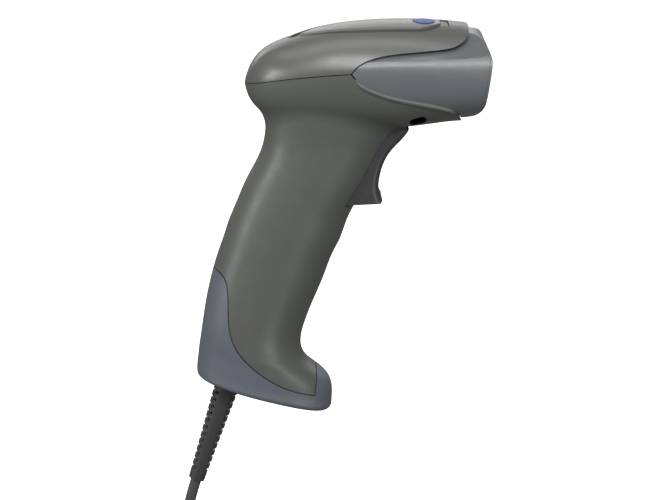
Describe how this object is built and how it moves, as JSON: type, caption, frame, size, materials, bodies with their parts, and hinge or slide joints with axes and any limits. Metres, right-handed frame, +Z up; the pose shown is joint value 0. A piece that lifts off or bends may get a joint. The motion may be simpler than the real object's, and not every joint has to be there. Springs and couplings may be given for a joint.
{
  "type": "handheld barcode scanner",
  "caption": "Corded gun-type handheld barcode scanner with a hooded nose, finger trigger, status light and flared base",
  "frame": {"origin": "middle of the hand grip, on the scanner's mid-plane, where a hand closes round it", "axes": "+X forward, the way the nose points; +Z up through the head; +Y to the scanner's left side"},
  "size_m": [0.1366, 0.0986, 0.2981],
  "materials": {
    "upper_shell": "satin dark grey moulded plastic with a soft metallic sheen",
    "lower_shell": "fine-textured dark green-grey moulded plastic",
    "base_shell": "fine-textured blue-grey moulded plastic",
    "bezel": "satin blue-grey moulded plastic",
    "panel": "satin mid grey moulded plastic",
    "surround": "satin near-black moulded plastic",
    "light_lens": "translucent deep blue light lens",
    "window": "dark red-black tinted scan window",
    "gasket": "black foam rubber",
    "engine_plastic": "black moulded plastic",
    "optic": "coated lens glass",
    "circuit_board": "green solder mask",
    "chip": "black epoxy",
    "lamp": "clear light-emitting diode",
    "connector": "cream moulded plastic",
    "plug_plastic": "clear moulded plastic",
    "trigger": "satin dark grey moulded plastic",
    "spring_steel": "spring steel wire",
    "pin_steel": "bright steel",
    "flat_cable": "black flat cable",
    "flex_cable": "amber film cable",
    "relief": "soft black moulding",
    "cable_jacket": "smooth dark grey jacket",
    "tie": "black nylon",
    "plug_grip": "black moulded grip",
    "plug_metal": "nickel-plated sheet steel",
    "contact_block": "white insulator"
  },
  "bodies": {
    "scanner": {"top_cover": "upper_shell", "handle_housing": "lower_shell", "base_cover": "base_shell", "nose_bezel": "bezel", "top_panel": "panel", "panel_surround": "surround", "status_light_lens": "light_lens", "front_frame": "bezel", "scan_window": "window", "strain_relief": "relief", "engine_frame": "engine_plastic", "lens_barrel": "engine_plastic", "objective_lens": "optic", "sensor_board": "circuit_board", "image_sensor": "chip", "light_board": "circuit_board", "light_leds": "lamp", "main_board": "circuit_board", "board_chips": "chip", "board_connectors": "connector", "buzzer": "chip", "status_lamp": "lamp", "trigger_switch": "chip", "switch_board": "circuit_board", "engine_bracket": "engine_plastic", "cable_socket": "connector", "cable_plug": "plug_plastic", "handle_harness": "flat_cable", "engine_flex": "flex_cable", "board_screws": "pin_steel", "base_screw": "pin_steel", "window_gasket": "gasket", "trigger_pin": "pin_steel", "cable": "cable_jacket", "cable_coil": "cable_jacket", "cable_tail": "cable_jacket", "cable_tie": "tie", "usb_plug_grip": "plug_grip", "usb_plug_shell": "plug_metal", "usb_plug_contacts": "contact_block"},
    "trigger": {"trigger": "trigger", "trigger_spring": "spring_steel"},
    "plunger": {"switch_plunger": "connector"}
  },
  "joints": [
    {"name": "trigger_hinge", "type": "hinge", "parent": "scanner", "child": "trigger", "pos_m": [0.0466, 0, 0.0496], "axis": [0, 1, 0], "range_deg": [0, 5], "stiffness_Nm_per_rad": 0.8, "springref_deg": -3.44},
    {"name": "plunger_slide", "type": "slide", "parent": "scanner", "child": "plunger", "axis": [-1, 0, 0], "range_m": [0, 0.00125]}
  ],
  "couplings": [
    {"joint": "plunger_slide", "follows": "trigger_hinge", "m_per_rad": 0.0136}
  ]
}
